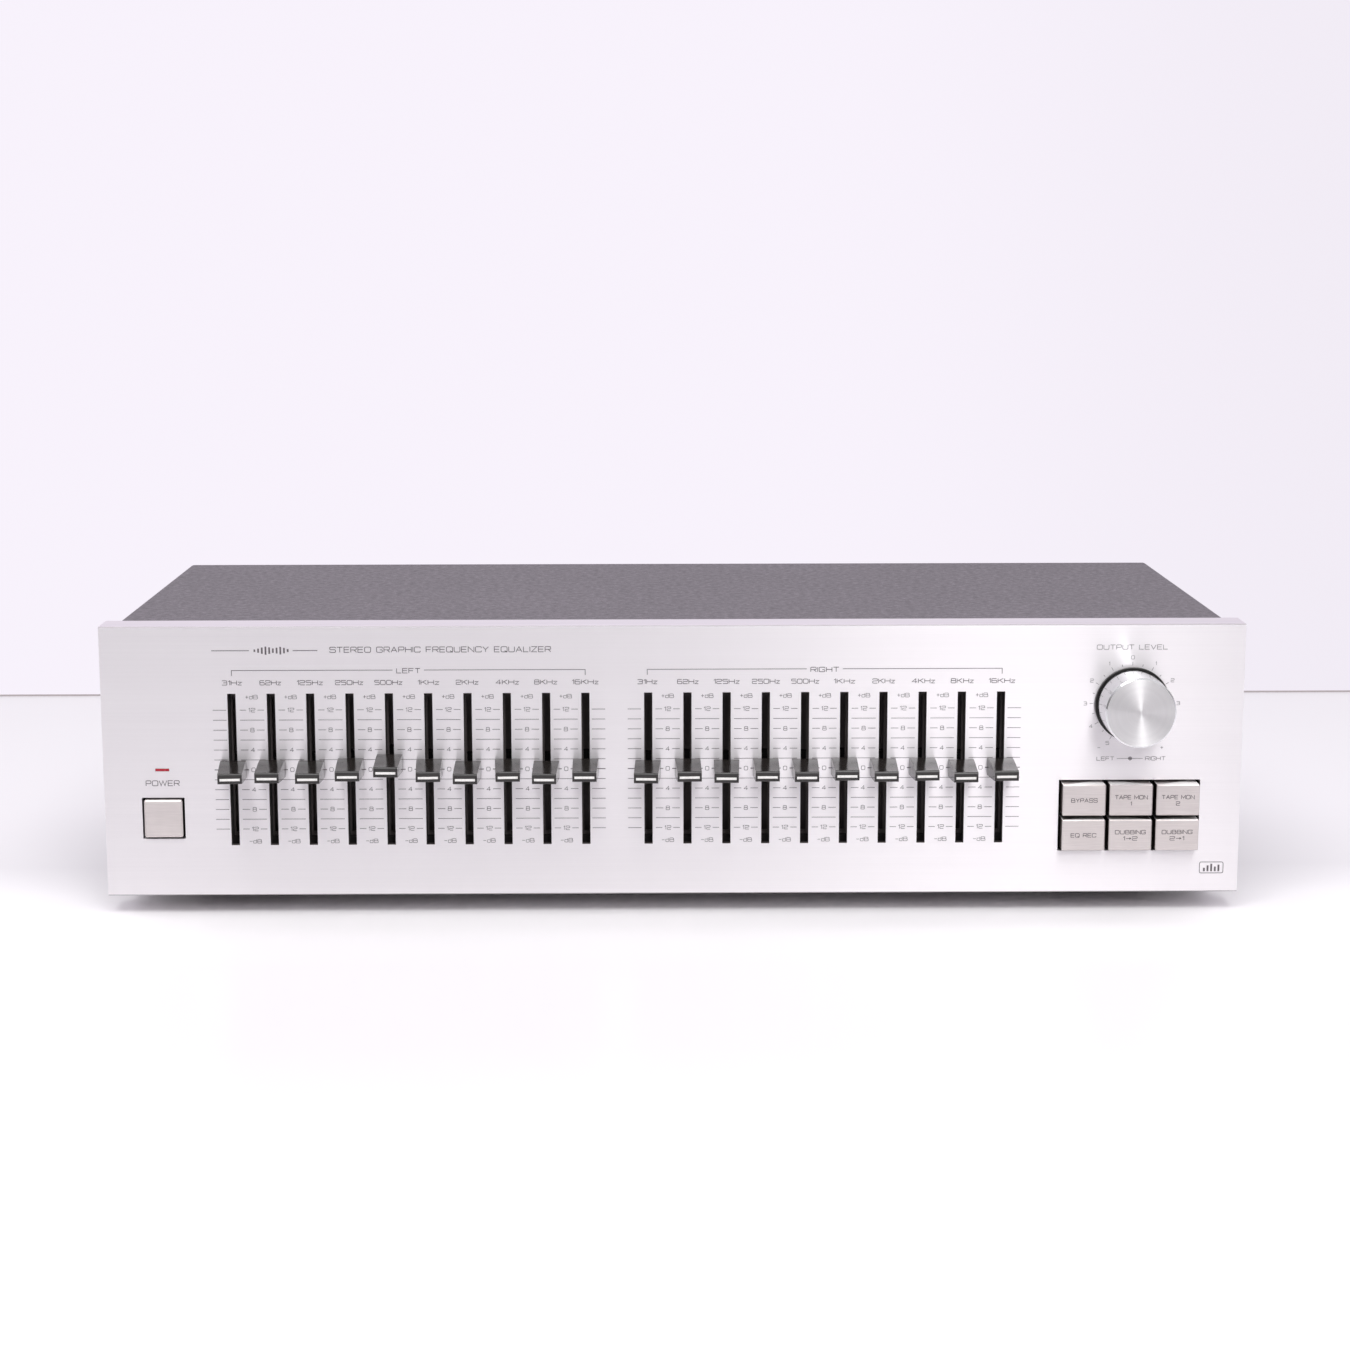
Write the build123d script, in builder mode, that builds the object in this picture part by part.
from build123d import *
import math
import os

os.makedirs("parts", exist_ok=True)

# ---------------------------------------------------------------------------
# Driving dimensions, millimetres.  "v" heights are measured from the lower
# edge of the front panel, "d" depths from the front face of the front panel
# (positive towards the rear).  height() and depth() turn them into the part's
# own frame: origin on the floor under the middle of the whole, +Z up, the
# front panel facing -Y.
# ---------------------------------------------------------------------------
PANEL_W = 420.0          # standard full-width hi-fi component
PANEL_H = 101.0
PANEL_T = 3.0            # wall of the extruded front panel
LIP_DEPTH = 14.8         # how far the panel's lips reach back
LIP_T = 2.4
PANEL_LIFT = 7.0         # lower edge of the panel above the floor
EDGE_CHAMFER = 0.35

KNOB_OUT = 18.5          # front of the level knob before the panel
COVER_START = 15.1
COVER_LEN = 162.0
COVER_END = COVER_START + COVER_LEN
COVER_W = 413.7
COVER_TOP = 100.0
COVER_T = 1.0
COVER_R = 2.2

REAR_FACE = COVER_END - 1.1     # outer face of the rear panel
SHEET = 1.2                     # chassis sheet steel
JACK_LEN = 8.4                  # barrel length behind the rear panel
REAR_MOST = REAR_FACE + JACK_LEN

FRONT_Y = -(REAR_MOST - KNOB_OUT) / 2.0

SUB_FRONT = 8.0                 # front face of the sub-panel
SUB_BACK = SUB_FRONT + SHEET
FLOOR_V = 2.5                   # underside of the bottom chassis
FLOOR_TOP = FLOOR_V + SHEET

# slots and sliders
SLOT_W = 3.05
SLOT_LEN = 57.0
SLOT_MID = 47.6
SLOT_PITCH = 14.42
SLOT_LEFT0 = -162.14
SLOT_RIGHT0 = -9.30
SLOT_X = [SLOT_LEFT0 + SLOT_PITCH * i for i in range(10)] + [
    SLOT_RIGHT0 + SLOT_PITCH * i for i in range(10)
]
TRAVEL = 45.0
REST = [
    -0.5, -0.2, -0.5, 0.35, 1.8, 0.0, -0.85, 0.0, -0.9, -0.1,
    -0.75, -0.2, -0.65, -0.2, -0.45, 0.05, -0.45, -0.1, -0.8, -0.3,
]
# the caps sit loosely on their levers: how far each is turned about the vertical
CAP_TURN = [
    3.2, -0.8, 0.4, 0.4, -1.4, 2.4, -1.4, 3.0, -1.8, -0.8,
    -3.4, 2.3, -1.5, 0.5, 0.2, 1.1, 0.7, 2.4, 1.5, 2.8,
]
BANDS = ["31hz", "62hz", "125hz", "250hz", "500hz", "1khz", "2khz", "4khz", "8khz", "16khz"]
SLIDER_NAMES = ["slider_left_" + b for b in BANDS] + ["slider_right_" + b for b in BANDS]

CAP_BASE_W = 9.4
CAP_NOSE_W = 8.82
CAP_OUT = 15.0
LINE_W, LINE_H = 7.3, 0.92
LEVER_T = 1.2
LEVER_H = 4.0

POT_W = 9.0
POT_D = 7.5
POT_L = 66.0

# power button and lamp
POWER_X, POWER_V = -188.4, 29.4
POWER_OPEN_W, POWER_OPEN_H = 15.7, 15.6
POWER_CAP = 14.1
POWER_OUT = 1.1
LAMP_X, LAMP_V = -188.4, 47.65
LAMP_W, LAMP_H = 5.2, 1.1

# six-button bank
BANK_X, BANK_V = 168.8, 29.3
BANK_W, BANK_H = 52.4, 26.9
KEY_W, KEY_H = 15.95, 11.6
KEY_PX, KEY_PV = 17.33, 13.2
KEY_OUT = 4.4
KEY_BACK = 5.0
KEY_STROKE = 3.5
KEY_NAMES = [
    "button_bypass", "button_tape_monitor_1", "button_tape_monitor_2",
    "button_eq_record", "button_dubbing_1_to_2", "button_dubbing_2_to_1",
]
KEY_POS = [
    (BANK_X + KEY_PX * c, BANK_V + KEY_PV * r) for r in (0.5, -0.5) for c in (-1, 0, 1)
]

# level control
KNOB_X, KNOB_V = 168.85, 71.3
RING_R = 13.8
KNOB_R0, KNOB_R1 = 13.1, 12.82

# rear connectors
JACK_R = 4.15
JACK_COLS = [-62.0, -38.0, 4.0, 28.0, 70.0, 94.0]
JACK_ROWS = [66.0, 48.0]
GLAND_X, GLAND_V = -172.0, 26.0
GLAND_R = 3.6

FOOT_X, FOOT_D = 172.0, (38.0, 152.0)


def height(v):
    return PANEL_LIFT + v


def depth(d):
    return FRONT_Y + d


def facing(d):
    """Sketch plane parallel to the panel at depth d; its normal points to the front."""
    return Plane.XZ.offset(-(FRONT_Y + d))


def level(v):
    """Horizontal sketch plane at height v above the panel's lower edge."""
    return Plane.XY.offset(PANEL_LIFT + v)


def side(x):
    """Sketch plane across the width at x; local axes are +Y and +Z."""
    return Plane.YZ.offset(x)


JACK_POS = [(x, height(v)) for v in JACK_ROWS for x in JACK_COLS]
SIDE_SCREWS = [(depth(24.0), height(20.0)), (depth(164.0), height(20.0))]
REAR_SCREW_X = [-150.0, 0.0, 150.0]
REAR_SCREW_V = 94.5
SILL_SCREW_X = [-180.0, 0.0, 180.0]
BOARD_POSTS = [(-85.0, 52.0), (175.0, 52.0), (-85.0, 142.0), (175.0, 142.0), (14.0, 118.0)]
TRAFO_X, TRAFO_D = -148.0, 105.0


def save(builder, name):
    builder.part.label = name
    export_step(builder.part, "parts/" + name + ".step")


# ---------------------------------------------------------------------------
# Front panel: a C-section extrusion with all its openings
# ---------------------------------------------------------------------------
with BuildPart() as front_panel:
    with BuildSketch(side(-PANEL_W / 2)):
        with BuildLine():
            Polyline(
                (depth(0), height(0)), (depth(0), height(PANEL_H)),
                (depth(LIP_DEPTH), height(PANEL_H)), (depth(LIP_DEPTH), height(PANEL_H - LIP_T)),
                (depth(PANEL_T), height(PANEL_H - LIP_T)), (depth(PANEL_T), height(LIP_T)),
                (depth(LIP_DEPTH), height(LIP_T)), (depth(LIP_DEPTH), height(0)),
                close=True,
            )
        make_face()
    extrude(amount=PANEL_W)
    chamfer(front_panel.edges().filter_by(Axis.X).group_by(Axis.Y)[0], EDGE_CHAMFER)
    with BuildSketch(facing(0)):
        with Locations(*[(x, height(SLOT_MID)) for x in SLOT_X]):
            Rectangle(SLOT_W, SLOT_LEN)
        with Locations((POWER_X, height(POWER_V))):
            RectangleRounded(POWER_OPEN_W, POWER_OPEN_H, 0.3)
        with Locations((BANK_X, height(BANK_V))):
            RectangleRounded(BANK_W, BANK_H, 0.3)
        with Locations((LAMP_X, height(LAMP_V))):
            RectangleRounded(LAMP_W, LAMP_H, 0.15)
        with Locations((KNOB_X, height(KNOB_V))):
            Circle(8.0)
    extrude(amount=-PANEL_T, mode=Mode.SUBTRACT)
    # holes in the lower lip for the sill screws
    with BuildSketch(level(0)):
        with Locations(*[(x, depth(13.0)) for x in SILL_SCREW_X]):
            Circle(1.7)
    extrude(amount=LIP_T, mode=Mode.SUBTRACT)
save(front_panel, "front_panel")

# ---------------------------------------------------------------------------
# Sub-panel: black sheet-steel plate behind the panel, bent back on all sides
# ---------------------------------------------------------------------------
SUB_HALF = COVER_W / 2 - COVER_T - 0.1
with BuildPart() as sub_panel:
    with BuildSketch(facing(SUB_FRONT)):
        with Locations((0, height((FLOOR_TOP + PANEL_H - LIP_T) / 2))):
            Rectangle(2 * SUB_HALF, PANEL_H - LIP_T - FLOOR_TOP - 0.2)
        with Locations(*[(x, height(SLOT_MID)) for x in SLOT_X]):
            Rectangle(3.6, 54.0, mode=Mode.SUBTRACT)
        with Locations((POWER_X, height(POWER_V))):
            Rectangle(17.0, 16.4, mode=Mode.SUBTRACT)
        with Locations((BANK_X, height(BANK_V))):
            Rectangle(54.0, 28.0, mode=Mode.SUBTRACT)
        with Locations((KNOB_X, height(KNOB_V))):
            Circle(4.6, mode=Mode.SUBTRACT)
        with Locations((LAMP_X, height(LAMP_V))):
            Rectangle(3.0, 3.0, mode=Mode.SUBTRACT)
    extrude(amount=-SHEET)
    # side flanges that take the cover's front screws
    with BuildSketch(facing(SUB_BACK)):
        with Locations(*[(s * (SUB_HALF - SHEET / 2), height(50.0)) for s in (-1, 1)]):
            Rectangle(SHEET, 92.0)
    extrude(amount=-22.0)
    # short forward flanges that close the panel's open ends
    with BuildSketch(facing(SUB_FRONT)):
        with Locations(*[
            (s * (SUB_HALF - SHEET / 2), height((FLOOR_TOP + PANEL_H - LIP_T) / 2)) for s in (-1, 1)
        ]):
            Rectangle(SHEET, PANEL_H - LIP_T - FLOOR_TOP - 0.2)
    extrude(amount=SUB_FRONT - PANEL_T - 0.15)
    # lower and upper flanges
    with BuildSketch(facing(SUB_BACK)):
        with Locations((0, height(FLOOR_TOP + 0.1 + SHEET / 2))):
            Rectangle(400.0, SHEET)
        with Locations((0, height(PANEL_H - LIP_T - 0.1 - SHEET / 2))):
            Rectangle(400.0, SHEET)
    extrude(amount=-6.8)
    with BuildSketch(level(FLOOR_TOP)):
        with Locations(*[(x, depth(13.0)) for x in SILL_SCREW_X]):
            Circle(1.5)
    extrude(amount=2.0, mode=Mode.SUBTRACT)
    with BuildSketch(side(-SUB_HALF - 1)):
        with Locations(SIDE_SCREWS[0]):
            Circle(1.5)
    extrude(amount=2 * SUB_HALF + 2, mode=Mode.SUBTRACT)
save(sub_panel, "sub_panel")

# ---------------------------------------------------------------------------
# Bottom chassis: folded tray with ventilation slots
# ---------------------------------------------------------------------------
CH_FRONT = SUB_BACK + 0.1
CH_REAR = REAR_FACE
with BuildPart() as bottom_chassis:
    with BuildSketch(level(FLOOR_V)):
        with Locations((0, depth((CH_FRONT + CH_REAR) / 2))):
            Rectangle(2 * SUB_HALF, CH_REAR - CH_FRONT)
        with Locations(*[(sx * FOOT_X, depth(d)) for sx in (-1, 1) for d in FOOT_D]):
            Circle(1.5, mode=Mode.SUBTRACT)
        with Locations(*[(x, depth(13.0)) for x in SILL_SCREW_X]):
            Circle(1.5, mode=Mode.SUBTRACT)
        with Locations(*[(x, depth(168.0)) for x in SILL_SCREW_X]):
            Circle(1.7, mode=Mode.SUBTRACT)
        with Locations(*[(TRAFO_X + s * 35.0, depth(TRAFO_D)) for s in (-1, 1)]):
            Circle(1.5, mode=Mode.SUBTRACT)
        with Locations(*[(x, depth(d)) for x, d in BOARD_POSTS]):
            Circle(1.6, mode=Mode.SUBTRACT)
        with Locations(*[(70.0 + 9.0 * i, depth(d)) for i in range(-5, 6) for d in (70.0, 122.0)]):
            SlotOverall(36.0, 3.0, rotation=90, mode=Mode.SUBTRACT)
    extrude(amount=SHEET)
    with BuildSketch(level(FLOOR_TOP)):
        with Locations(*[(s * (SUB_HALF - SHEET / 2), depth((32.0 + 158.0) / 2 + 6)) for s in (-1, 1)]):
            Rectangle(SHEET, 138.0)
    extrude(amount=24.0)
    with BuildSketch(side(-SUB_HALF - 1)):
        with Locations(SIDE_SCREWS[1]):
            Circle(1.5)
    extrude(amount=2 * SUB_HALF + 2, mode=Mode.SUBTRACT)
save(bottom_chassis, "bottom_chassis")

# ---------------------------------------------------------------------------
# Top cover: inverted U of coated sheet steel with a turned-down rear edge
# ---------------------------------------------------------------------------
COVER_SIDE_H = COVER_TOP - FLOOR_V
with BuildPart() as top_cover:
    with BuildSketch(facing(COVER_START)):
        with BuildLine():
            FilletPolyline(
                (-COVER_W / 2, height(FLOOR_V)), (-COVER_W / 2, height(COVER_TOP)),
                (COVER_W / 2, height(COVER_TOP)), (COVER_W / 2, height(FLOOR_V)),
                radius=COVER_R,
            )
            Line((COVER_W / 2, height(FLOOR_V)), (COVER_W / 2 - COVER_T, height(FLOOR_V)))
            FilletPolyline(
                (COVER_W / 2 - COVER_T, height(FLOOR_V)), (COVER_W / 2 - COVER_T, height(COVER_TOP - COVER_T)),
                (-COVER_W / 2 + COVER_T, height(COVER_TOP - COVER_T)), (-COVER_W / 2 + COVER_T, height(FLOOR_V)),
                radius=COVER_R - COVER_T,
            )
            Line((-COVER_W / 2 + COVER_T, height(FLOOR_V)), (-COVER_W / 2, height(FLOOR_V)))
        make_face()
    extrude(amount=-COVER_LEN)
    # turned-down rear edge with three clearance holes
    with BuildSketch(facing(COVER_END)):
        with Locations((0, height(COVER_TOP - 5.5))):
            Rectangle(COVER_W - 8.0, 10.0)
        with Locations(*[(x, height(REAR_SCREW_V)) for x in REAR_SCREW_X]):
            Circle(1.8, mode=Mode.SUBTRACT)
    extrude(amount=COVER_T)
    with BuildSketch(side(-COVER_W / 2 - 1)):
        with Locations(*SIDE_SCREWS):
            Circle(1.8)
    extrude(amount=COVER_W + 2, mode=Mode.SUBTRACT)
    fillet(top_cover.faces().sort_by(Axis.Y)[0].edges().filter_by(Axis.X).sort_by(Axis.Z)[-1], 0.3)
save(top_cover, "top_cover")

# ---------------------------------------------------------------------------
# Rear panel with its openings and a forward foot flange
# ---------------------------------------------------------------------------
with BuildPart() as rear_panel:
    with BuildSketch(facing(REAR_FACE)) as rear_outline:
        with Locations((0, height((FLOOR_TOP + 0.1 + COVER_TOP - COVER_T - 0.1) / 2))):
            Rectangle(2 * SUB_HALF, COVER_TOP - COVER_T - FLOOR_TOP - 0.2)
        with Locations(*JACK_POS):
            Circle(4.7, mode=Mode.SUBTRACT)
        with Locations((GLAND_X, height(GLAND_V))):
            Circle(6.4, mode=Mode.SUBTRACT)
        with Locations(*[(x, height(REAR_SCREW_V)) for x in REAR_SCREW_X]):
            Circle(1.5, mode=Mode.SUBTRACT)
        fillet(rear_outline.vertices().group_by(Axis.Y)[-1], 1.8)
    extrude(amount=SHEET)
    with BuildSketch(facing(REAR_FACE - SHEET)):
        with Locations((0, height(FLOOR_TOP + 0.1 + SHEET / 2))):
            Rectangle(396.0, SHEET)
    extrude(amount=14.0)
    with BuildSketch(level(FLOOR_TOP)):
        with Locations(*[(x, depth(168.0)) for x in SILL_SCREW_X]):
            Circle(1.5)
    extrude(amount=2.0, mode=Mode.SUBTRACT)
save(rear_panel, "rear_panel")

# ---------------------------------------------------------------------------
# Feet and their screws
# ---------------------------------------------------------------------------
FOOT_H = PANEL_LIFT + FLOOR_V
with BuildPart() as foot:
    with BuildSketch(Plane.XZ):
        with BuildLine():
            Polyline(
                (1.7, 4.8), (1.7, FOOT_H), (10.5, FOOT_H), (10.5, 4.0), (9.2, 0.8), (8.4, 0.0),
                (5.0, 0.0), (5.0, 4.8), close=True,
            )
        make_face()
    revolve(axis=Axis.Z)
with BuildPart() as feet:
    with Locations(*[(sx * FOOT_X, depth(d), 0) for sx in (-1, 1) for d in FOOT_D]):
        add(foot.part)
save(feet, "feet")


def pan_screw(head_r, head_h, shank_r, shank_l):
    """Pan-head screw with a cross recess: underside of the head at z=0, head up, shank down."""
    with BuildPart() as screw:
        with BuildSketch(Plane.XY):
            Circle(head_r)
        extrude(amount=head_h)
        fillet(screw.faces().sort_by(Axis.Z)[-1].edges(), head_h * 0.42)
        with BuildSketch(Plane.XY):
            Circle(shank_r)
        extrude(amount=-shank_l)
        chamfer(screw.faces().sort_by(Axis.Z)[0].edges(), 0.4)
        with BuildSketch(Plane.XY.offset(head_h)):
            Rectangle(head_r * 1.1, head_r * 0.28)
            Rectangle(head_r * 0.28, head_r * 1.1)
        extrude(amount=-head_h * 0.55, mode=Mode.SUBTRACT)
    return screw.part


foot_screw = pan_screw(3.2, 2.0, 1.4, 8.5)
with BuildPart() as foot_screws:
    with Locations(*[
        Location((sx * FOOT_X, depth(d), 4.7), (180, 0, 0)) for sx in (-1, 1) for d in FOOT_D
    ]):
        add(foot_screw)
save(foot_screws, "foot_screws")

cover_screw = pan_screw(3.3, 2.0, 1.4, 6.0)
with BuildPart() as cover_screws:
    with Locations(*[Location((-COVER_W / 2 - 0.05, y, z), (0, -90, 0)) for y, z in SIDE_SCREWS]):
        add(cover_screw)
    with Locations(*[Location((COVER_W / 2 + 0.05, y, z), (0, 90, 0)) for y, z in SIDE_SCREWS]):
        add(cover_screw)
    with Locations(*[
        Location((x, depth(COVER_END) + 0.05, height(REAR_SCREW_V)), (-90, 0, 0)) for x in REAR_SCREW_X
    ]):
        add(cover_screw)
save(cover_screws, "cover_screws")

sill_screw = pan_screw(2.9, 1.8, 1.4, 6.6)
rear_sill_screw = pan_screw(2.9, 1.8, 1.4, 4.6)
with BuildPart() as panel_screws:
    with Locations(*[Location((x, depth(13.0), height(0) - 0.05), (180, 0, 0)) for x in SILL_SCREW_X]):
        add(sill_screw)
    with Locations(*[Location((x, depth(168.0), height(FLOOR_V) - 0.05), (180, 0, 0)) for x in SILL_SCREW_X]):
        add(rear_sill_screw)
save(panel_screws, "panel_screws")

# ---------------------------------------------------------------------------
# Slide potentiometers: steel cans with a slot for the lever, on the sub-panel
# ---------------------------------------------------------------------------
with BuildPart() as slide_pots:
    with BuildSketch(facing(SUB_BACK)):
        with Locations(*[(x, height(SLOT_MID)) for x in SLOT_X]):
            Rectangle(POT_W, POT_L)
    extrude(amount=-POT_D)
    with BuildSketch(facing(SUB_BACK + 0.8)):
        with Locations(*[(x, height(SLOT_MID)) for x in SLOT_X]):
            Rectangle(POT_W - 1.6, POT_L - 2.4)
    extrude(amount=-(POT_D - 1.6), mode=Mode.SUBTRACT)
    with BuildSketch(facing(SUB_BACK)):
        with Locations(*[(x, height(SLOT_MID)) for x in SLOT_X]):
            Rectangle(2.2, 51.0)
    extrude(amount=-0.8, mode=Mode.SUBTRACT)
save(slide_pots, "slide_pots")

SB_FRONT = SUB_BACK + POT_D
with BuildPart() as slider_board:
    with BuildSketch(facing(SB_FRONT)):
        with Locations((-20.0, height(48.0))):
            Rectangle(306.0, 76.0)
    extrude(amount=-1.6)
save(slider_board, "slider_board")

# ---------------------------------------------------------------------------
# Sliders: cap, bright line insert, steel lever and nylon carriage.  Each piece
# is drawn once about its own origin, x = 0 on the slot's centre line, y = 0 on
# the panel's front face and z = 0 at the lever's height, then set out.
# ---------------------------------------------------------------------------
def forward(y):
    return Plane(origin=(0, y, 0), x_dir=(1, 0, 0), z_dir=(0, -1, 0))


with BuildPart() as cap:
    # concave top, blunt nose, base close to the panel
    with BuildSketch(Plane.YZ.offset(-CAP_BASE_W / 2)):
        with BuildLine():
            top = Spline(
                (-0.5, 4.0), (-3.2, 3.82), (-9.0, 2.85), (-13.9, 2.12),
                tangents=((-1, -0.02), (-1, -0.08)),
            )
            nose_top = ThreePointArc(top @ 1, (-14.75, 1.98), (-CAP_OUT, 1.6))
            front = Line(nose_top @ 1, (-CAP_OUT, -1.35))
            nose_low = ThreePointArc(front @ 1, (-14.9, -1.57), (-14.6, -1.65))
            under = Line(nose_low @ 1, (-7.0, -2.15))
            under2 = Line(under @ 1, (-0.5, -2.35))
            Line(under2 @ 1, top @ 0)
        make_face()
    extrude(amount=CAP_BASE_W)
    # sides taper towards the nose
    with BuildSketch(Plane.XY.offset(-4.0)):
        for s in (-1, 1):
            with BuildLine():
                Polyline(
                    (s * CAP_BASE_W / 2, -0.4), (s * (CAP_BASE_W / 2 + 1), -0.4),
                    (s * (CAP_BASE_W / 2 + 1), -16), (s * CAP_NOSE_W / 2, -16),
                    (s * CAP_NOSE_W / 2, -CAP_OUT), close=True,
                )
            make_face()
    extrude(amount=9.0, mode=Mode.SUBTRACT)
    # groove across the nose for the bright line
    with BuildSketch(forward(-CAP_OUT)):
        with Locations((0, -0.1)):
            Rectangle(LINE_W + 0.06, LINE_H + 0.06)
    extrude(amount=-0.7, mode=Mode.SUBTRACT)
    # loose socket for the lever
    with BuildSketch(forward(-0.5)):
        Rectangle(LEVER_T + 1.3, LEVER_H - 0.2)
    extrude(amount=9.0, mode=Mode.SUBTRACT)

with BuildPart() as insert:
    with BuildSketch(forward(-CAP_OUT + 0.68)):
        with Locations((0, -0.1)):
            Rectangle(LINE_W, LINE_H)
    extrude(amount=0.76)
    chamfer(insert.faces().sort_by(Axis.Y)[0].edges(), 0.12)

with BuildPart() as lever:
    with BuildSketch(forward(SUB_BACK + 1.5)):
        Rectangle(LEVER_T, LEVER_H - 0.3)
    extrude(amount=SUB_BACK + 1.5 + 9.0)

with BuildPart() as carriage:
    with BuildSketch(forward(SUB_BACK + 1.52)):
        Rectangle(POT_W - 2.4, 9.0)
    extrude(amount=-4.4)

for name, x, dz, turn in zip(SLIDER_NAMES, SLOT_X, REST, CAP_TURN):
    with BuildPart() as slider_set:
        with Locations(Location((x, depth(0), height(SLOT_MID + dz)), (0, 0, turn))):
            add(cap.part)
            add(insert.part)
        with Locations((x, depth(0), height(SLOT_MID + dz))):
            add(lever.part)
            add(carriage.part)
    save(slider_set, name)

# ---------------------------------------------------------------------------
# Power button, its switch and the lamp
# ---------------------------------------------------------------------------
with BuildPart() as power_button:
    with BuildSketch(facing(-POWER_OUT)):
        with Locations((POWER_X, height(POWER_V))):
            RectangleRounded(POWER_CAP, POWER_CAP, 0.75)
    extrude(amount=-(POWER_OUT + KEY_BACK))
    chamfer(power_button.faces().sort_by(Axis.Y)[0].edges(), 0.6)
    with BuildSketch(facing(KEY_BACK)):
        with Locations((POWER_X, height(POWER_V))):
            Rectangle(4.8, 4.8)
    extrude(amount=-18.0)
save(power_button, "power_button")

with BuildPart() as power_switch:
    with BuildSketch(facing(SUB_BACK)):
        with Locations((POWER_X, height(POWER_V))):
            Rectangle(21.0, 24.0)
    extrude(amount=-1.2)
    with BuildSketch(facing(SUB_BACK + 1.2)):
        with Locations((POWER_X, height(POWER_V))):
            Rectangle(15.0, 18.0)
    extrude(amount=-26.0)
    with BuildSketch(facing(SUB_BACK)):
        with Locations((POWER_X, height(POWER_V))):
            Rectangle(5.4, 5.4)
    extrude(amount=-19.5, mode=Mode.SUBTRACT)
    # three solder lugs
    with BuildSketch(facing(SUB_BACK + 27.2)):
        with Locations(*[(POWER_X, height(POWER_V + 5.5 * k)) for k in (-1, 0, 1)]):
            Rectangle(3.0, 0.8)
    extrude(amount=-5.0)
save(power_switch, "power_switch")

with BuildPart() as power_lamp:
    with BuildSketch(facing(0.1)):
        with Locations((LAMP_X, height(LAMP_V))):
            RectangleRounded(LAMP_W - 0.12, LAMP_H - 0.12, 0.12)
    extrude(amount=-(PANEL_T + 0.1))
    with BuildSketch(facing(PANEL_T + 0.2)):
        with Locations((LAMP_X, height(LAMP_V))):
            Rectangle(7.4, 4.4)
    extrude(amount=-(SUB_FRONT - PANEL_T - 0.2))
    with BuildSketch(facing(SUB_FRONT)):
        with Locations(*[(LAMP_X + s * 0.95, height(LAMP_V)) for s in (-1, 1)]):
            Rectangle(0.5, 0.5)
    extrude(amount=-6.0)
save(power_lamp, "power_lamp")

# ---------------------------------------------------------------------------
# Push buttons, black guides and the switch bank
# ---------------------------------------------------------------------------
for name, (x, v) in zip(KEY_NAMES, KEY_POS):
    with BuildPart() as button:
        with BuildSketch(facing(-KEY_OUT)):
            with Locations((x, height(v))):
                RectangleRounded(KEY_W, KEY_H, 0.45)
        extrude(amount=-(KEY_OUT + KEY_BACK))
        chamfer(button.faces().sort_by(Axis.Y)[0].edges(), 0.35)
        with BuildSketch(facing(KEY_BACK)):
            with Locations((x, height(v))):
                Rectangle(4.0, 3.0)
        extrude(amount=-16.0)
    save(button, name)

with BuildPart() as button_guides:
    with BuildSketch(facing(PANEL_T)):
        with Locations((BANK_X, height(BANK_V))):
            Rectangle(59.0, 33.0)
        with Locations(*[(x, height(v)) for x, v in KEY_POS]):
            Rectangle(KEY_W + 0.7, KEY_H + 0.7, mode=Mode.SUBTRACT)
        with Locations((POWER_X, height(POWER_V))):
            Rectangle(23.0, 22.0)
        with Locations((POWER_X, height(POWER_V))):
            Rectangle(POWER_CAP + 0.7, POWER_CAP + 0.7, mode=Mode.SUBTRACT)
    extrude(amount=-(SUB_FRONT - PANEL_T))
save(button_guides, "button_guides")

with BuildPart() as switch_bank:
    with BuildSketch(facing(SUB_BACK)):
        with Locations((BANK_X, height(BANK_V))):
            Rectangle(62.0, 36.0)
    extrude(amount=-1.2)
    with BuildSketch(facing(SUB_BACK + 1.2)):
        with Locations(*[(x, height(v)) for x, v in KEY_POS]):
            Rectangle(13.0, 9.6)
    extrude(amount=-28.0)
    with BuildSketch(facing(SUB_BACK)):
        with Locations(*[(x, height(v)) for x, v in KEY_POS]):
            Rectangle(4.6, 3.6)
    extrude(amount=-18.5, mode=Mode.SUBTRACT)
save(switch_bank, "switch_bank")

# ---------------------------------------------------------------------------
# Level control: dual potentiometer, nut, black ring knob and silver knob
# ---------------------------------------------------------------------------
with BuildPart() as level_pot:
    with BuildSketch(facing(SUB_BACK)):
        with Locations((KNOB_X, height(KNOB_V))):
            Circle(12.0)
    extrude(amount=-20.0)
    with BuildSketch(facing(SUB_BACK)):
        with Locations((KNOB_X, height(KNOB_V))):
            Circle(4.4)
    extrude(amount=SUB_BACK - 1.0)
    with BuildSketch(facing(1.0)):
        with Locations((KNOB_X, height(KNOB_V))):
            Circle(3.05)
    extrude(amount=-19.0, mode=Mode.SUBTRACT)
    with BuildSketch(facing(SUB_BACK + 20.0)):
        with Locations(*[(KNOB_X + 4.5 * k, height(KNOB_V - 8.0)) for k in (-1, 0, 1)]):
            Rectangle(1.2, 3.0)
    extrude(amount=-4.0)
save(level_pot, "level_pot")

with BuildPart() as level_pot_nut:
    with BuildSketch(facing(SUB_FRONT)):
        with Locations((KNOB_X, height(KNOB_V))):
            RegularPolygon(6.4, 6)
            Circle(4.45, mode=Mode.SUBTRACT)
    extrude(amount=2.4)
save(level_pot_nut, "level_pot_nut")

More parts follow.
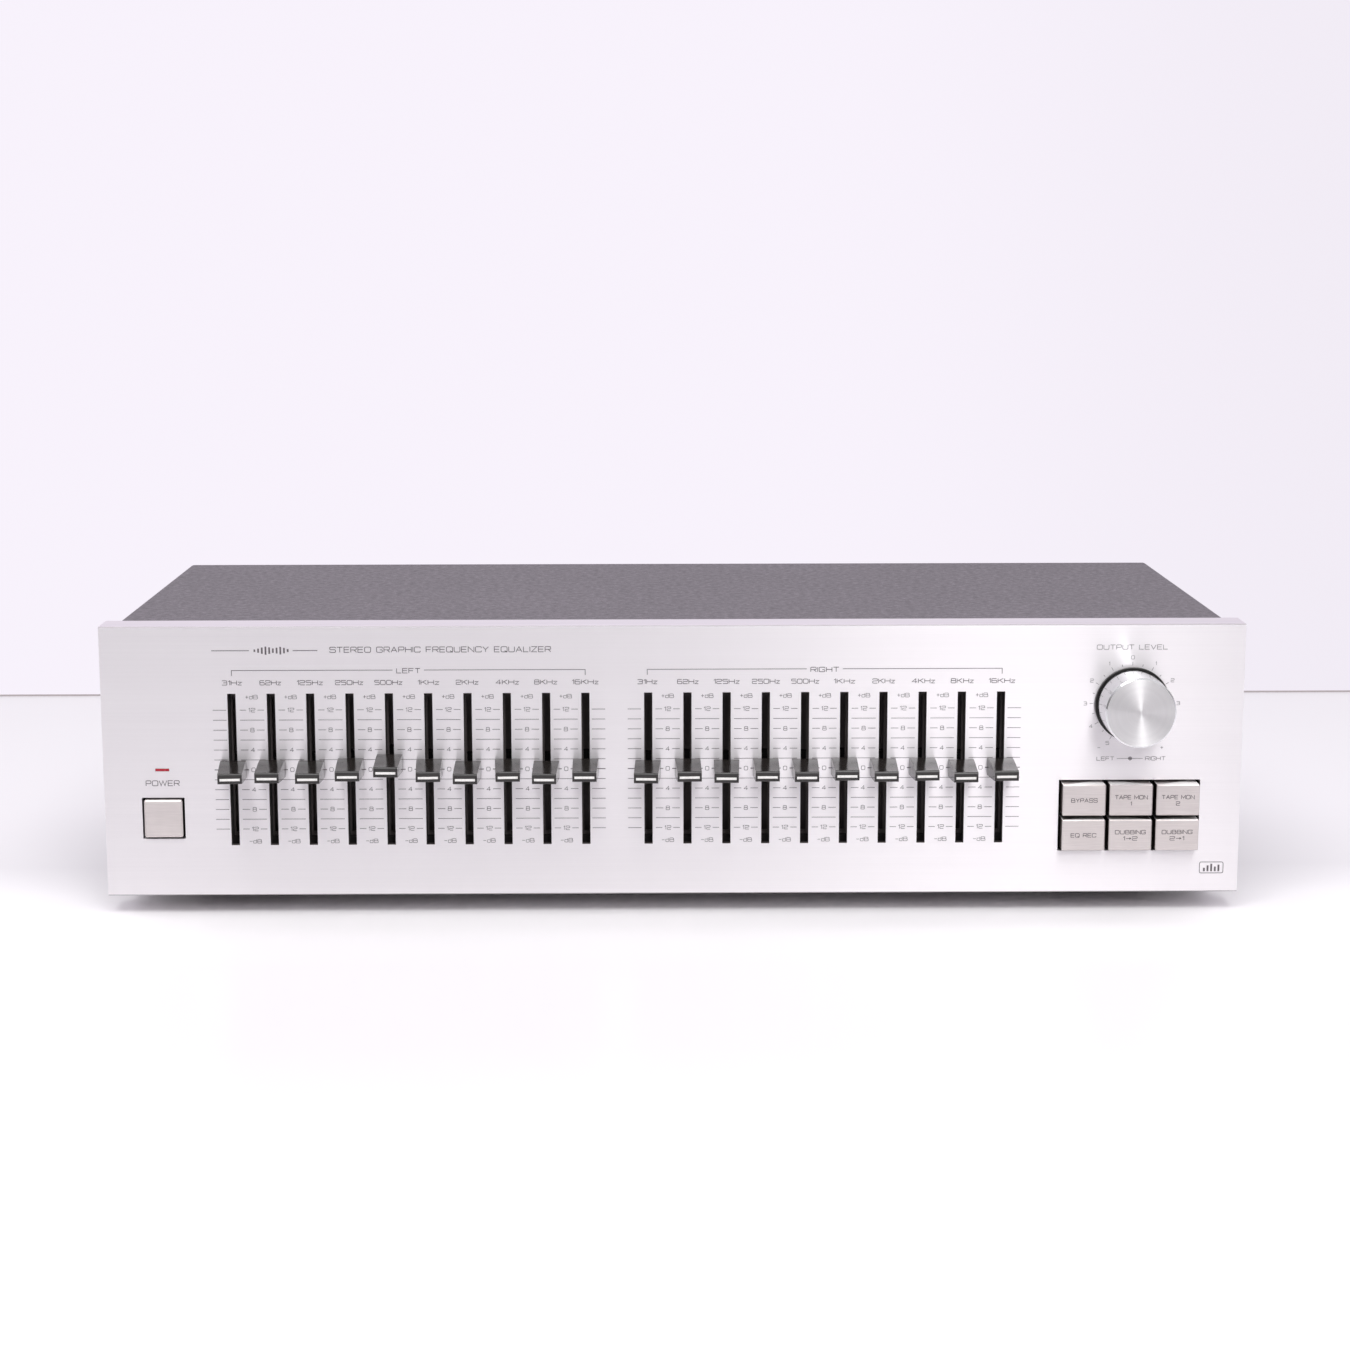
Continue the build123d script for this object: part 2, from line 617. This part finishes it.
with BuildPart() as level_ring_knob:
    with BuildSketch(facing(-0.5)):
        with Locations((KNOB_X, height(KNOB_V))):
            Circle(RING_R)
            Circle(2.05, mode=Mode.SUBTRACT)
    extrude(amount=1.4)
    fillet(level_ring_knob.faces().sort_by(Axis.Y)[0].edges().sort_by(SortBy.RADIUS)[-1], 0.3)
    # outer tubular shaft
    with BuildSketch(facing(-0.5)):
        with Locations((KNOB_X, height(KNOB_V))):
            Circle(3.0)
            Circle(2.05, mode=Mode.SUBTRACT)
    extrude(amount=-15.0)
save(level_ring_knob, "level_ring_knob")

with BuildPart() as level_knob:
    with BuildSketch(facing(-2.3)):
        with Locations((KNOB_X, height(KNOB_V))):
            Circle(KNOB_R0)
    with BuildSketch(facing(-KNOB_OUT)):
        with Locations((KNOB_X, height(KNOB_V))):
            Circle(KNOB_R1)
    loft()
    chamfer(level_knob.faces().sort_by(Axis.Y)[0].edges(), 0.5)
    # inner shaft
    with BuildSketch(facing(-2.3)):
        with Locations((KNOB_X, height(KNOB_V))):
            Circle(2.0)
    extrude(amount=-20.0)
save(level_knob, "level_knob")

# ---------------------------------------------------------------------------
# Main board with its components
# ---------------------------------------------------------------------------
MB_V = 12.0
MB_TOP = MB_V + 1.6
with BuildPart() as main_board:
    with BuildSketch(level(MB_V)):
        with Locations((45.0, depth(97.0))):
            Rectangle(274.0, 104.0)
        with Locations(*[(x, depth(d)) for x, d in BOARD_POSTS]):
            Circle(1.6, mode=Mode.SUBTRACT)
    extrude(amount=1.6)
save(main_board, "main_board")

with BuildPart() as board_standoffs:
    with BuildSketch(level(FLOOR_TOP)):
        with Locations(*[(x, depth(d)) for x, d in BOARD_POSTS]):
            RegularPolygon(3.4, 6)
            Circle(1.5, mode=Mode.SUBTRACT)
    extrude(amount=MB_V - FLOOR_TOP)
save(board_standoffs, "board_standoffs")

inner_screw = pan_screw(2.8, 1.8, 1.4, 6.0)
with BuildPart() as inner_screws:
    with Locations(*[(x, depth(d), height(MB_TOP) + 0.03) for x, d in BOARD_POSTS]):
        add(inner_screw)
    with Locations(*[(TRAFO_X + s * 35.0, depth(TRAFO_D), height(FLOOR_TOP + 1.5) + 0.03) for s in (-1, 1)]):
        add(inner_screw)
save(inner_screws, "inner_screws")

OPAMP_POS = [(-60.0 + 22.0 * i, 66.0 + 26.0 * j) for i in range(10) for j in range(2)]
with BuildPart() as op_amps:
    with BuildSketch(level(MB_TOP + 0.6)):
        with Locations(*[(x, depth(d)) for x, d in OPAMP_POS]):
            Rectangle(9.6, 6.4)
            with Locations((-4.8, 0)):
                Circle(0.8, mode=Mode.SUBTRACT)
    extrude(amount=3.4)
    with BuildSketch(level(MB_TOP)):
        with Locations(*[(x, depth(d)) for x, d in OPAMP_POS]):
            with GridLocations(2.54, 5.6, 4, 2):
                Rectangle(0.9, 0.5)
    extrude(amount=1.0)
save(op_amps, "op_amps")

FILM_POS = [(-64.0 + 11.0 * i, 79.0 + 26.0 * j) for i in range(20) for j in range(2)]
with BuildPart() as film_capacitors:
    with BuildSketch(level(MB_TOP)):
        with Locations(*[(x, depth(d)) for x, d in FILM_POS]):
            RectangleRounded(7.2, 2.8, 0.5)
    extrude(amount=7.0)
save(film_capacitors, "film_capacitors")

CAP_POS = [(-70.0, 122.0), (-44.0, 122.0)]
with BuildPart() as filter_capacitors:
    with BuildSketch(level(MB_TOP)):
        with Locations(*[(x, depth(d)) for x, d in CAP_POS]):
            Circle(9.0)
    extrude(amount=36.0)
    fillet(filter_capacitors.faces().filter_by(Axis.Z).group_by(Axis.Z)[-1].edges(), 0.8)
save(filter_capacitors, "filter_capacitors")

with BuildPart() as heat_sink:
    with BuildSketch(level(MB_TOP)):
        with Locations((0.0, depth(136.0))):
            Rectangle(44.0, 2.0)
        with Locations(*[(-20.5 + 5.125 * i, depth(141.0)) for i in range(9)]):
            Rectangle(1.4, 10.0)
    extrude(amount=28.0)
save(heat_sink, "heat_sink")

with BuildPart() as regulators:
    with BuildSketch(facing(130.4)):
        with Locations(*[(x, height(MB_TOP + 12.5)) for x in (-10.0, 10.0)]):
            Rectangle(10.0, 9.0)
    extrude(amount=-4.6)
    with BuildSketch(facing(133.7)):
        with Locations(*[(x, height(MB_TOP + 19.5)) for x in (-10.0, 10.0)]):
            Rectangle(10.0, 6.0)
            Circle(1.8, mode=Mode.SUBTRACT)
    extrude(amount=-1.3)
    with BuildSketch(facing(132.4)):
        with Locations(*[(x + 2.54 * k, height(MB_TOP + 4.0)) for x in (-10.0, 10.0) for k in (-1, 0, 1)]):
            Rectangle(0.8, 8.0)
    extrude(amount=-0.5)
save(regulators, "regulators")

with BuildPart() as ribbon_cable:
    with BuildSketch(side(-60.0)):
        with BuildLine():
            FilletPolyline(
                (depth(SB_FRONT + 1.6), height(20.0)), (depth(31.0), height(20.0)),
                (depth(40.0), height(MB_TOP + 0.9)), (depth(52.0), height(MB_TOP + 0.9)),
                radius=4.0,
            )
            Line((depth(52.0), height(MB_TOP + 0.9)), (depth(52.0), height(MB_TOP)))
            FilletPolyline(
                (depth(52.0), height(MB_TOP)), (depth(39.4), height(MB_TOP)),
                (depth(30.4), height(19.1)), (depth(SB_FRONT + 1.6), height(19.1)),
                radius=4.0,
            )
            Line((depth(SB_FRONT + 1.6), height(19.1)), (depth(SB_FRONT + 1.6), height(20.0)))
        make_face()
    extrude(amount=40.0)
save(ribbon_cable, "ribbon_cable")

# ---------------------------------------------------------------------------
# Mains transformer
# ---------------------------------------------------------------------------
CORE_H = 47.5
with BuildPart() as transformer_core:
    with BuildSketch(facing(TRAFO_D - 14.0)):
        with Locations((TRAFO_X, height(FLOOR_TOP + 1.5 + CORE_H / 2))):
            Rectangle(57.0, CORE_H)
        with Locations(*[(TRAFO_X + s * 14.25, height(FLOOR_TOP + 1.5 + CORE_H / 2)) for s in (-1, 1)]):
            Rectangle(9.5, 28.5, mode=Mode.SUBTRACT)
    extrude(amount=-28.0)
    with BuildSketch(level(FLOOR_TOP)):
        with Locations((TRAFO_X, depth(TRAFO_D))):
            Rectangle(80.0, 20.0)
        with Locations(*[(TRAFO_X + s * 35.0, depth(TRAFO_D)) for s in (-1, 1)]):
            Circle(1.8, mode=Mode.SUBTRACT)
    extrude(amount=1.5)
save(transformer_core, "transformer_core")

with BuildPart() as transformer_winding:
    with BuildSketch(level(FLOOR_TOP + 1.5 + CORE_H / 2 - 14.1)):
        with Locations((TRAFO_X, depth(TRAFO_D))):
            RectangleRounded(37.4, 46.0, 4.0)
            Rectangle(19.2, 28.4, mode=Mode.SUBTRACT)
    extrude(amount=28.2)
save(transformer_winding, "transformer_winding")

# ---------------------------------------------------------------------------
# Phono jacks and cord gland on the rear panel
# ---------------------------------------------------------------------------
with BuildPart() as phono_jack_shells:
    with BuildSketch(facing(REAR_FACE - SHEET - 0.8)):
        with Locations(*JACK_POS):
            Circle(5.6)
            Circle(3.4, mode=Mode.SUBTRACT)
    extrude(amount=-0.8)
    with BuildSketch(facing(REAR_FACE - SHEET)):
        with Locations(*JACK_POS):
            Circle(4.6)
            Circle(3.4, mode=Mode.SUBTRACT)
    extrude(amount=-SHEET)
    with BuildSketch(facing(REAR_FACE)):
        with Locations(*JACK_POS):
            Circle(JACK_R)
            Circle(3.4, mode=Mode.SUBTRACT)
    extrude(amount=-JACK_LEN)
save(phono_jack_shells, "phono_jack_shells")

# moulded plates that carry four jacks each, with the inserts in the barrels
with BuildPart() as phono_jack_insulators:
    with BuildSketch(facing(REAR_FACE - SHEET - 0.8)):
        with Locations(*[
            ((JACK_COLS[2 * k] + JACK_COLS[2 * k + 1]) / 2, height(sum(JACK_ROWS) / 2)) for k in range(3)
        ]):
            RectangleRounded(46.0, 36.0, 1.5)
    extrude(amount=2.0)
    with BuildSketch(facing(REAR_FACE - SHEET - 0.8)):
        with Locations(*JACK_POS):
            Circle(3.4)
    extrude(amount=-(SHEET + 0.8 + JACK_LEN - 0.5))
    with BuildSketch(facing(REAR_FACE + JACK_LEN)):
        with Locations(*JACK_POS):
            Circle(1.65)
    extrude(amount=JACK_LEN + SHEET + 3.0, mode=Mode.SUBTRACT)
save(phono_jack_insulators, "phono_jack_insulators")

with BuildPart() as cord_gland:
    with BuildSketch(facing(REAR_FACE)):
        with Locations((GLAND_X, height(GLAND_V))):
            Circle(8.6)
            Circle(GLAND_R, mode=Mode.SUBTRACT)
    extrude(amount=-4.6)
    chamfer(cord_gland.faces().sort_by(Axis.Y)[-1].edges().sort_by(SortBy.RADIUS)[-1], 1.2)
    with BuildSketch(facing(REAR_FACE)):
        with Locations((GLAND_X, height(GLAND_V))):
            Circle(6.3)
            Circle(GLAND_R, mode=Mode.SUBTRACT)
    extrude(amount=4.4)
save(cord_gland, "cord_gland")
